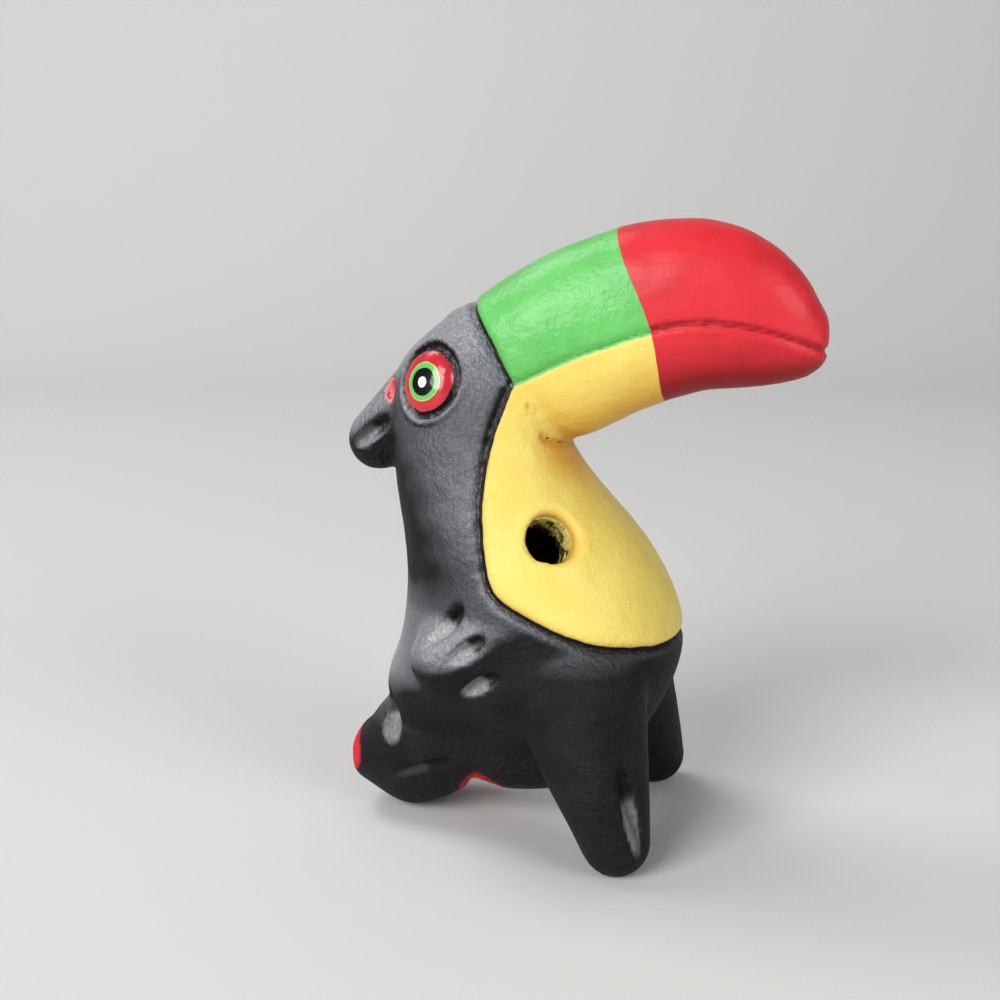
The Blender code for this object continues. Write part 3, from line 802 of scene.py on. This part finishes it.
def clay_colour(tree, waver, grain, painted_sheen, fields):
    is_beak, is_breast, is_tip = fields
    patches = noise_at(tree, PATCH_SIZE, 3)
    under = attribute(tree, "under")
    black = mixed(tree, ramp(tree, patches, 0.35, 0.7), BLACK, BLACK_WORN)
    # Painted sheen: the black greyed on its upward faces, as light glancing off it
    is_sheen = times(tree, painted_sheen, ramp(tree, grain, 0.25, 0.7, 0.6, 1.0))
    black = mixed(tree, is_sheen, black, BLACK_SHEEN_GREY)
    yellow = mixed(tree, ramp(tree, patches, 0.3, 0.75), YELLOW, YELLOW_DEEP)
    # Painted shade: the yellow deepened to orange in nooks and on faces that look downward
    in_nook = ramp(tree, attribute(tree, "nook_shade"), *IN_NOOK)
    shaded = math_node(tree, "MAXIMUM", in_nook, times(tree, under, UNDER_SHADE))
    yellow = mixed(tree, shaded, yellow, YELLOW_SHADE)
    green = mixed(tree, ramp(tree, patches, 0.45, 0.8, 0, 0.35), GREEN, GREEN_DEEP)
    red = mixed(tree, ramp(tree, patches, 0.45, 0.8, 0, 0.3), RED, RED_DEEP)
    # Painted shade: the red darker on faces that look downward
    red = mixed(tree, under, red, RED_DEEP)

    colour = mixed(tree, is_breast, black, mixed(tree, is_tip, yellow, red))
    colour = mixed(tree, is_beak, colour, mixed(tree, is_tip, green, red))
    in_cut = ramp(tree, plus(tree, attribute(tree, "cut"), waver), *IN_CUT, 1, 0)
    colour = mixed(tree, in_cut, colour, GROOVE_BLACK)
    # Painted shadow along the gape, under the upper beak's overhang
    gape_shadow = ramp(tree, attribute(tree, "gape"), *IN_GAPE_SHADOW, GAPE_SHADOW, 0)
    colour = mixed(tree, gape_shadow, colour, mixed(tree, is_tip, GREEN_DEEP, RED_DEEP))
    for name in ("mouth", "window"):
        is_red = edge(tree, attribute(tree, name), times(tree, waver, SPOT_WAVER))
        colour = mixed(tree, is_red, colour, red)
    # The dimple's red, with a painted pink highlight round its rim
    dimple = attribute(tree, "dimple")
    dimple_red_and_highlight = mixed(tree, ramp(tree, dimple, *IN_DIMPLE), PINK_HIGHLIGHT, RED)
    in_dimple = edge(tree, dimple, times(tree, waver, SPOT_WAVER))
    colour = mixed(tree, in_dimple, colour, dimple_red_and_highlight)
    round_eye = ramp(tree, attribute(tree, "eye"), *ROUND_EYE, 1, 0)
    colour = mixed(tree, round_eye, colour, GROOVE_BLACK)
    in_crack = ramp(tree, plus(tree, attribute(tree, "crack"), waver), *IN_CRACK, 1, 0)
    colour = mixed(tree, in_crack, colour, BARE_CLAY)
    # Painted sheen: pale grey on the gouges' shallow floors, where light glances off them
    gouge_sheen = times(tree, attribute(tree, "gouge_sheen"), ramp(tree, grain, 0.25, 0.6, 0.6, 1.0))
    colour = mixed(tree, gouge_sheen, colour, GOUGE_SHEEN_GREY)
    # Painted shadow: black at each gouge's deep end
    colour = mixed(tree, attribute(tree, "deep"), colour, GROOVE_BLACK)
    in_chamber = ramp(tree, attribute(tree, "closed"), *IN_CHAMBER)
    colour = mixed(tree, in_chamber, colour, CHAMBER_CLAY)
    bore = plus(tree, attribute(tree, "bore"), times(tree, waver, BORE_WAVER))
    return mixed(tree, ramp(tree, bore, *HOLE_PAINT_ENDS), colour, splashed_clay(tree, bore))


def clay_gloss(tree, shader, grain, painted_sheen, fields):
    """Glossy beak, duller breast and black, and a thin gloss coat where the black has its painted
    sheen.
    """
    is_beak, is_breast, is_tip = fields
    on_sheen = ramp(tree, grain, *GRAIN_RANGE, *SHEEN_ROUGH)
    on_black = mixed_value(tree, painted_sheen, BLACK_ROUGH, on_sheen)
    on_yellow = ramp(tree, grain, *GRAIN_RANGE, *YELLOW_ROUGH)
    on_green = ramp(tree, grain, *GRAIN_RANGE, *GREEN_ROUGH)
    on_beak = mixed_value(tree, is_tip, on_green, RED_ROUGH)
    roughness = mixed_value(tree, is_breast, on_black, on_yellow)
    roughness = mixed_value(tree, is_beak, roughness, on_beak)
    tree.links.new(roughness, shader.inputs["Roughness"])
    coat = mixed_value(tree, is_breast, times(tree, painted_sheen, SHEEN_COAT), YELLOW_COAT)
    coat = mixed_value(tree, is_beak, coat, mixed_value(tree, is_tip, GREEN_COAT, RED_COAT))
    tree.links.new(coat, shader.inputs["Coat Weight"])
    shader.inputs["Coat Roughness"].default_value = COAT_ROUGHNESS
    shader.inputs["Coat IOR"].default_value = COAT_IOR
    shader.inputs["Specular IOR Level"].default_value = SPECULAR_LEVEL


def relief_of(tree, parts, heights):
    """Two kinds of noise added up, each at its own height."""
    first, second = (times(tree, part, height) for part, height in zip(parts, heights))
    return plus(tree, first, second)


def clay_relief(tree, shader, grain, fields):
    """Grain, lumps and brush marks, each paint's own."""
    is_beak, is_breast, is_tip = fields
    fine = noise_at(tree, FINE_SIZE, 2)
    lumps = noise_at(tree, LUMP_SIZE, 3)
    streaks = noise_at(tree, STREAK_SIZE, 2, 0.4, STREAK_STRETCH)
    on_black = relief_of(tree, (grain, lumps), BLACK_RELIEF)
    on_yellow = relief_of(tree, (fine, lumps), YELLOW_RELIEF)
    on_green = relief_of(tree, (grain, lumps), GREEN_RELIEF)
    on_red = relief_of(tree, (fine, streaks), RED_RELIEF)
    height = mixed_value(tree, is_breast, on_black, on_yellow)
    height = mixed_value(tree, is_beak, height, on_green)
    bright = math_node(tree, "MAXIMUM", is_beak, is_breast)
    height = mixed_value(tree, times(tree, bright, is_tip), height, on_red)
    add_bump(tree, shader, height, ("Normal", "Coat Normal"))


def clay_paint():
    material, tree, shader = new_material("painted_clay")
    waver = waver_of(tree, noise_at(tree, WAVER_SIZE, 3), EDGE_WAVER)
    grain = noise_at(tree, GRAIN_SIZE, 3, 0.6)
    painted_sheen = attribute(tree, "painted_sheen")
    fields = clay_fields(tree, waver)
    tree.links.new(clay_colour(tree, waver, grain, painted_sheen, fields), shader.inputs["Base Color"])
    clay_gloss(tree, shader, grain, painted_sheen, fields)
    clay_relief(tree, shader, grain, fields)
    return material


# The clay pushed in round the finger holes

def collar_paint():
    material, tree, shader = new_material("bare_clay")
    tree.links.new(splashed_clay(tree, attribute(tree, "bore")), shader.inputs["Base Color"])
    shader.inputs["Roughness"].default_value = CLAY_ROUGH
    shader.inputs["Specular IOR Level"].default_value = SPECULAR_LEVEL
    add_bump(tree, shader, times(tree, noise_at(tree, 0.7, 3), 0.3))
    return material


def collar(name, tree, side, material):
    """A short ragged tube inside the wall, round a finger hole."""
    mouth, outward = hole_axis(tree, side)
    level = np.cross(outward, (0, 0, 1.0))
    level /= np.linalg.norm(level)
    upright = np.cross(level, outward)
    draft = bmesh.new()
    near, far = COLLAR_RADII
    sheets = [(near, step / COLLAR_STEPS) for step in range(COLLAR_STEPS + 1)]
    sheets += [(far, 1 - step / COLLAR_STEPS) for step in range(COLLAR_STEPS + 1)]
    hoops, depths = [], []
    for radius, share in sheets:
        hoop = []
        for spoke in range(COLLAR_SPOKES):
            angle = 2 * math.pi * spoke / COLLAR_SPOKES
            way = level * math.cos(angle) + upright * math.sin(angle)
            ragged = COLLAR_RAGGED * noise.noise(Vector(3 * way))
            depth = COLLAR_FROM + (COLLAR_TO + ragged - COLLAR_FROM) * share
            rough = 1 + COLLAR_UNEVEN * noise.noise(Vector(4 * way) + Vector((0, 0, depth))) * share
            hoop.append(draft.verts.new(mouth + MM * (radius * rough * way - depth * outward)))
            depths.append(depth)
        hoops.append(hoop)
    for inner, outer in zip(hoops, hoops[1:] + hoops[:1]):
        join_hoops(draft, inner, outer)
    bmesh.ops.recalc_face_normals(draft, faces=draft.faces)
    mesh = mesh_from(draft, name)
    mesh.shade_smooth()
    store(mesh, "bore", depths)
    mesh.materials.append(material)
    obj = placed(name, mesh)
    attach(obj, "root")


# The eye's painted disc

def eye_disc(name, tree, side, material):
    """A disc of paint that lies on the eye's clay dome."""
    centre, outward = eye_axis(tree, side)
    level, upright = np.cross(outward, (0, 0, 1.0)), np.array((0, 0, 1.0))
    draft = bmesh.new()
    hoops = []
    for step in range(EYE_HOOPS + 1):
        radius = EYE_EDGE * EYE_RADIUS * MM * max(step, EYE_MIDDLE_HOOP) / EYE_HOOPS
        hoop = []
        for spoke in range(EYE_SPOKES):
            angle = 2 * math.pi * spoke / EYE_SPOKES
            spot = np.array(centre) + radius * (level * math.cos(angle) + upright * math.sin(angle))
            start = Vector(spot + EYE_RAY_START * MM * outward)
            hit, _, _, _ = tree.ray_cast(start, Vector(-outward))
            hoop.append(draft.verts.new(Vector(hit) + EYE_STANDS * MM * Vector(outward)))
        hoops.append(hoop)
    for inner, outer in zip(hoops, hoops[1:]):
        join_hoops(draft, inner, outer)
    draft.faces.new(hoops[0])
    bmesh.ops.recalc_face_normals(draft, faces=draft.faces)
    mesh = mesh_from(draft, name)
    if sum(Vector(outward).dot(face.normal) for face in mesh.polygons) < 0:
        mesh.flip_normals()
    mesh.shade_smooth()
    store(mesh, "eye", eye_distances(vertex_places(mesh), tree, side)[1] / MM)
    mesh.materials.append(material)
    obj = placed(name, mesh)
    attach(obj, "root")


def eye_paint():
    material, tree, shader = new_material("painted_eye")
    waver = waver_of(tree, noise_at(tree, EYE_WAVER_SIZE, 2), EYE_WAVER)
    radius = plus(tree, attribute(tree, "eye"), waver)
    colours = {"white": WHITE, "black": GROOVE_BLACK, "green": GREEN, "straw": STRAW}
    colour = EYE_RED
    for name, reach in reversed(EYE_RINGS):
        within = ramp(tree, radius, reach - EYE_RING_EDGE, reach + EYE_RING_EDGE, 1, 0)
        colour = mixed(tree, within, colour, colours[name])
    tree.links.new(colour, shader.inputs["Base Color"])
    shader.inputs["Roughness"].default_value = EYE_ROUGH
    add_bump(tree, shader, noise_at(tree, 1.5, 2), strength=0.6, distance=0.2 * MM)
    return material


# Floor, light and camera

CAMERA_PLACE = (0.0425, -0.2112, 0.0943)
CAMERA_TURN = math.radians(14.4)
CAMERA_DOWN = math.radians(11.8)
CAMERA_LENS = 54.0
SENSOR = 36.0
MIDDLE = Vector((0.0, 0.0, 0.045))

FLOOR_REACH = 3.0
FLOOR_COLOUR = (0.66, 0.66, 0.65, 1)
BACKDROP_BEHIND = 0.9
SWEEP_RADIUS = 0.4
SWEEP_STEPS = 24

# Lights: (name, (right, towards the camera, up) from the whistle's middle in metres, size, watts)
SOFTBOXES = (
    ("key", (-0.62, 0.80, 0.50), 0.64, 12.8),
    ("top", (-0.50, -0.32, 0.85), 0.45, 4.0),
    ("side", (0.85, 0.85, 0.45), 0.60, 6.5),
)
WORLD_LIGHT = 0.16


def add_camera():
    data = bpy.data.cameras.new("camera")
    data.lens = CAMERA_LENS
    data.sensor_width = SENSOR
    data.clip_start = 0.01
    data.clip_end = 50
    camera = placed("camera", data)
    camera.location = CAMERA_PLACE
    camera.rotation_euler = (math.pi / 2 - CAMERA_DOWN, 0, CAMERA_TURN)
    bpy.context.scene.camera = camera


def add_softbox(name, place, size, watts):
    """A square light, placed (right, towards the camera, up) from the whistle's middle."""
    right, near, up = place
    turn = Matrix.Rotation(CAMERA_TURN, 3, "Z")
    data = bpy.data.lights.new(name, "AREA")
    data.size = size
    data.energy = watts
    light = placed(name, data)
    light.location = MIDDLE + turn @ Vector((right, -near, up))
    light.rotation_euler = (MIDDLE - light.location).to_track_quat("-Z", "Y").to_euler()


def add_floor():
    """A pale floor that sweeps up behind into a pale backdrop."""
    profile = [(-FLOOR_REACH, 0.0)]
    for step in range(SWEEP_STEPS + 1):
        angle = math.pi / 2 * step / SWEEP_STEPS
        back = BACKDROP_BEHIND - SWEEP_RADIUS + SWEEP_RADIUS * math.sin(angle)
        profile.append((back, SWEEP_RADIUS * (1 - math.cos(angle))))
    profile.append((BACKDROP_BEHIND, FLOOR_REACH))
    turn = Matrix.Rotation(CAMERA_TURN, 3, "Z")
    draft = bmesh.new()
    rows = []
    for back, up in profile:
        ends = [turn @ Vector((right, back, up)) for right in (-FLOOR_REACH, FLOOR_REACH)]
        rows.append([draft.verts.new(end) for end in ends])
    for low, high in zip(rows, rows[1:]):
        draft.faces.new((low[0], low[1], high[1], high[0]))
    mesh = mesh_from(draft, "floor")
    mesh.shade_smooth()
    floor = placed("floor", mesh)
    material, _, shader = new_material("pale_floor")
    shader.inputs["Base Color"].default_value = FLOOR_COLOUR
    shader.inputs["Roughness"].default_value = FLOOR_ROUGH
    mesh.materials.append(material)


def add_world():
    """Plain soft light all round."""
    world = bpy.data.worlds.new("studio")
    bpy.context.scene.world = world
    world.use_nodes = True
    background = world.node_tree.nodes["Background"]
    background.inputs["Color"].default_value = (1, 1, 1, 1)
    background.inputs["Strength"].default_value = WORLD_LIGHT


# The dressed whistle

def add_body(node):
    """The painted skin in the solid's place. Gives back the skin, ready for rays."""
    skin = fine_skin(node)
    work_unevenly(skin)
    tree = tree_of(skin)
    press_marks(skin, tree)
    skin = with_fewer_faces(skin, tree)
    tree = tree_of(skin)
    mark_paint(skin, tree)
    mark_nooks(skin, tree)
    skin.shade_smooth()
    skin.materials.clear()
    skin.materials.append(clay_paint())
    body = placed("painted_whistle", skin)
    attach(body, "root")
    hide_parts("whistle_body")
    return tree


def main():
    tree = add_body(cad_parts["whistle_body"])
    paint = eye_paint()
    eye_disc("eye_left", tree, 1, paint)
    eye_disc("eye_right", tree, -1, paint)
    bare = collar_paint()
    collar("hole_left", tree, 1, bare)
    collar("hole_right", tree, -1, bare)
    add_floor()
    add_world()
    for name, place, size, watts in SOFTBOXES:
        add_softbox(name, place, size, watts)
    add_camera()
    bpy.context.scene.view_settings.view_transform = "Standard"


main()
